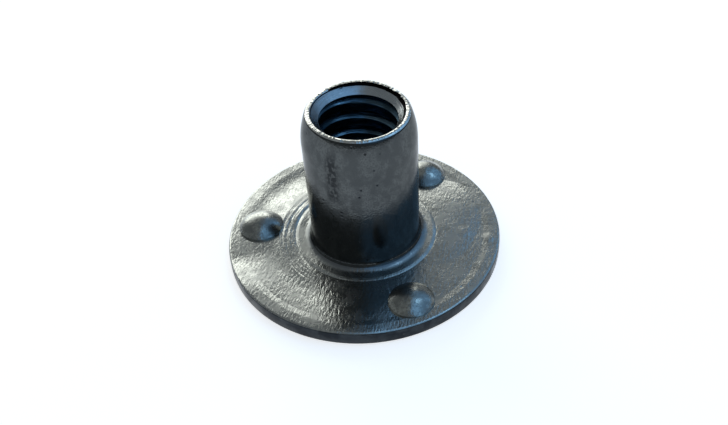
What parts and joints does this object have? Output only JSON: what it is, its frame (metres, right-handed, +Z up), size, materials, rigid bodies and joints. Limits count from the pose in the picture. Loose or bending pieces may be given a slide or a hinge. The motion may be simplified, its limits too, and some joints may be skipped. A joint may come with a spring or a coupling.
{
  "type": "projection weld nut",
  "caption": "Round-base weld nut: a threaded barrel on a flat round flange, with domed weld projections on the barrel's side.",
  "frame": {"origin": "on the thread's axis, at the flat base face that is away from the barrel", "axes": "+Z up the barrel; one weld projection lies on the -X side"},
  "size_m": [0.019, 0.019, 0.0116],
  "materials": {
    "steel": "bare oily steel, as formed: satin, darker on the barrel, fine radial grain on the weld face"
  },
  "bodies": {
    "root": {"weld_nut": "steel"}
  },
  "joints": []
}
